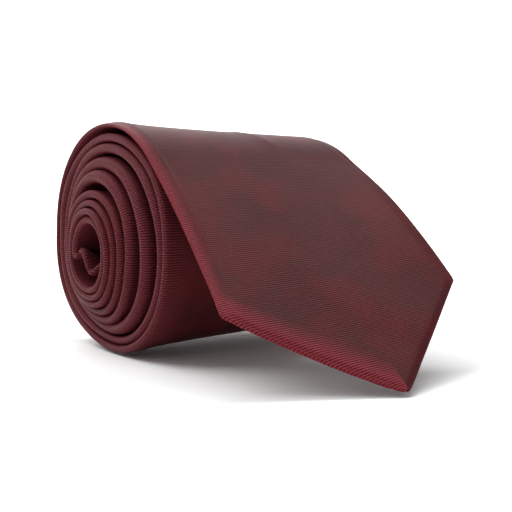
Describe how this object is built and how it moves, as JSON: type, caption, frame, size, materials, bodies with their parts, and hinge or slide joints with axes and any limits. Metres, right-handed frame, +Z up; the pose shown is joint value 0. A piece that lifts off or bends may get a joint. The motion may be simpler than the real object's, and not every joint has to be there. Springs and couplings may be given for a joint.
{
  "type": "necktie",
  "caption": "Silk necktie rolled up from its tail, with the wide pointed blade hanging off the roll as a flap that lifts.",
  "frame": {"origin": "middle of the tie's box, on the face that it lies on", "axes": "+X along the roll, away from its flush end; +Y from the blade's point towards the back of the roll; +Z up"},
  "size_m": [0.0892, 0.157, 0.0769],
  "materials": {
    "silk": "fine cross-ribbed shot silk, burgundy with a grey-mauve sheen",
    "tipping_satin": "smooth dark burgundy satin",
    "interlining_wool": "brushed undyed wool",
    "thread": "twisted burgundy silk thread",
    "label_cloth": "woven blank label, near black",
    "care_cloth": "blank off-white satin tape"
  },
  "bodies": {
    "roll": {"blade_shell_roll": "silk", "neck_shell": "silk", "tail_shell": "silk", "interlining_roll": "interlining_wool", "blade_tipping_roll": "tipping_satin", "tail_tipping": "tipping_satin", "slip_stitch_thread": "thread", "blade_bar_tack": "thread", "tail_bar_tack": "thread", "keeper_loop": "silk", "keeper_near_tack": "thread", "keeper_far_tack": "thread", "blank_label": "label_cloth"},
    "flap": {"blade_shell_flap": "silk", "interlining_flap": "interlining_wool", "blade_tipping_flap": "tipping_satin", "care_label": "care_cloth"}
  },
  "joints": [
    {"name": "blade_lift", "type": "hinge", "parent": "roll", "child": "flap", "pos_m": [0, 0.03656, 0.07684], "axis": [-1, 0, 0], "range_deg": [0, 90]}
  ]
}
